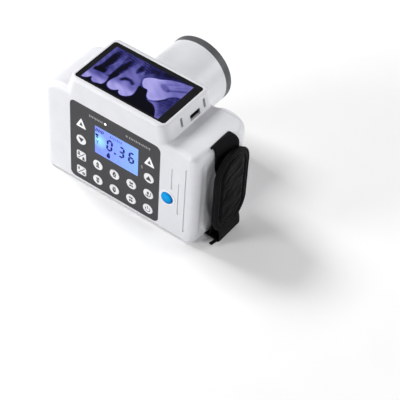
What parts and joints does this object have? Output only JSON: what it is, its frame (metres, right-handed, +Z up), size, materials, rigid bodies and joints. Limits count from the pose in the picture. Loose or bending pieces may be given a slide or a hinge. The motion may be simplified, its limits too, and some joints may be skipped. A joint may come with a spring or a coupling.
{
  "type": "hand-held intraoral x-ray unit",
  "caption": "Hand-held battery-powered dental X-ray unit with beam cone, keypad panel, sloped-side display head, exposure button and padded hand strap.",
  "frame": {"origin": "on the flat base, near the middle of its footprint", "axes": "+X to the operator's right (hand strap side), +Y along the X-ray beam towards the cone's end, +Z up towards the display"},
  "size_m": [0.1956, 0.133, 0.1254],
  "materials": {
    "housing_white": "fine moulded texture",
    "cone_white": "satin",
    "display_glass": "polished, black border",
    "display_panel": "display",
    "circuit_board": "solder mask",
    "plated_steel": "nickel plated",
    "panel_grey": "fine matt film",
    "clear_window": "clear film",
    "lcd_module": "back-lit display",
    "lamp_lens": "light pipe",
    "key_white": "satin",
    "collar_white": "gloss",
    "button_blue": "satin gloss",
    "spring_steel": "drawn wire",
    "black_plastic": "moulded",
    "tank_aluminium": "milled",
    "tube_glass": "clear",
    "tube_copper": "turned",
    "lead": "dull rolled lead",
    "ring_grey": "fine moulded texture",
    "cell_wrap": "shrink wrap",
    "webbing_black": "woven nylon",
    "pad_black": "grained, sewn edge",
    "screw_steel": "zinc plated",
    "insert_brass": "knurled"
  },
  "bodies": {
    "housing": {"front_housing": "housing_white", "back_cover": "housing_white", "display_glass": "display_glass", "display_panel": "display_panel", "display_board": "circuit_board", "usb_port": "plated_steel", "keypad_overlay": "panel_grey", "lcd_window": "clear_window", "lcd_module": "lcd_module", "keypad_board": "circuit_board", "key_domes": "plated_steel", "ready_lamp": "lamp_lens", "exposure_lamp": "lamp_lens", "button_collar": "collar_white", "button_spring": "spring_steel", "exposure_switch": "black_plastic", "switch_board": "circuit_board", "generator_tank": "tank_aluminium", "generator_lid": "tank_aluminium", "tube_glass": "tube_glass", "tube_anode": "tube_copper", "tube_cathode": "plated_steel", "lead_shield": "lead", "high_voltage_block": "black_plastic", "beam_cone": "cone_white", "cone_end_ring": "ring_grey", "cone_liner": "lead", "cone_nut": "black_plastic", "collimator": "lead", "aluminium_filter": "tank_aluminium", "main_board": "circuit_board", "buzzer": "black_plastic", "battery_cells": "cell_wrap", "battery_tray": "black_plastic", "charging_socket": "black_plastic", "upper_webbing": "webbing_black", "lower_webbing": "webbing_black", "strap_tail": "webbing_black", "hand_pad": "pad_black", "strap_pins": "plated_steel", "housing_screws": "screw_steel", "generator_screws": "screw_steel", "board_screws": "screw_steel", "tripod_insert": "insert_brass"},
    "exposure_button": {"exposure_button": "button_blue"},
    "key_down": {"key_down": "key_white"},
    "key_up": {"key_up": "key_white"},
    "key_patient": {"key_patient": "key_white"},
    "key_receptor": {"key_receptor": "key_white"},
    "key_upper_incisor": {"key_upper_incisor": "key_white"},
    "key_upper_premolar": {"key_upper_premolar": "key_white"},
    "key_upper_molar": {"key_upper_molar": "key_white"},
    "key_bitewing": {"key_bitewing": "key_white"},
    "key_lower_incisor": {"key_lower_incisor": "key_white"},
    "key_lower_premolar": {"key_lower_premolar": "key_white"},
    "key_lower_molar": {"key_lower_molar": "key_white"},
    "key_power": {"key_power": "key_white"}
  },
  "joints": [
    {"name": "exposure_press", "type": "slide", "parent": "housing", "child": "exposure_button", "axis": [0, 1, 0], "range_m": [0, 0.0014], "stiffness_N_per_m": 600, "springref_m": -0.002, "deforming": ["button_spring"]},
    {"name": "key_down_press", "type": "slide", "parent": "housing", "child": "key_down", "axis": [0, 1, 0], "range_m": [0, 0.0003], "stiffness_N_per_m": 1500, "springref_m": -0.0003},
    {"name": "key_up_press", "type": "slide", "parent": "housing", "child": "key_up", "axis": [0, 1, 0], "range_m": [0, 0.0003], "stiffness_N_per_m": 1500, "springref_m": -0.0003},
    {"name": "key_patient_press", "type": "slide", "parent": "housing", "child": "key_patient", "axis": [0, 1, 0], "range_m": [0, 0.0003], "stiffness_N_per_m": 1500, "springref_m": -0.0003},
    {"name": "key_receptor_press", "type": "slide", "parent": "housing", "child": "key_receptor", "axis": [0, 1, 0], "range_m": [0, 0.0003], "stiffness_N_per_m": 1500, "springref_m": -0.0003},
    {"name": "key_upper_incisor_press", "type": "slide", "parent": "housing", "child": "key_upper_incisor", "axis": [0, 1, 0], "range_m": [0, 0.0003], "stiffness_N_per_m": 1500, "springref_m": -0.0003},
    {"name": "key_upper_premolar_press", "type": "slide", "parent": "housing", "child": "key_upper_premolar", "axis": [0, 1, 0], "range_m": [0, 0.0003], "stiffness_N_per_m": 1500, "springref_m": -0.0003},
    {"name": "key_upper_molar_press", "type": "slide", "parent": "housing", "child": "key_upper_molar", "axis": [0, 1, 0], "range_m": [0, 0.0003], "stiffness_N_per_m": 1500, "springref_m": -0.0003},
    {"name": "key_bitewing_press", "type": "slide", "parent": "housing", "child": "key_bitewing", "axis": [0, 1, 0], "range_m": [0, 0.0003], "stiffness_N_per_m": 1500, "springref_m": -0.0003},
    {"name": "key_lower_incisor_press", "type": "slide", "parent": "housing", "child": "key_lower_incisor", "axis": [0, 1, 0], "range_m": [0, 0.0003], "stiffness_N_per_m": 1500, "springref_m": -0.0003},
    {"name": "key_lower_premolar_press", "type": "slide", "parent": "housing", "child": "key_lower_premolar", "axis": [0, 1, 0], "range_m": [0, 0.0003], "stiffness_N_per_m": 1500, "springref_m": -0.0003},
    {"name": "key_lower_molar_press", "type": "slide", "parent": "housing", "child": "key_lower_molar", "axis": [0, 1, 0], "range_m": [0, 0.0003], "stiffness_N_per_m": 1500, "springref_m": -0.0003},
    {"name": "key_power_press", "type": "slide", "parent": "housing", "child": "key_power", "axis": [0, 1, 0], "range_m": [0, 0.0003], "stiffness_N_per_m": 1500, "springref_m": -0.0003}
  ]
}
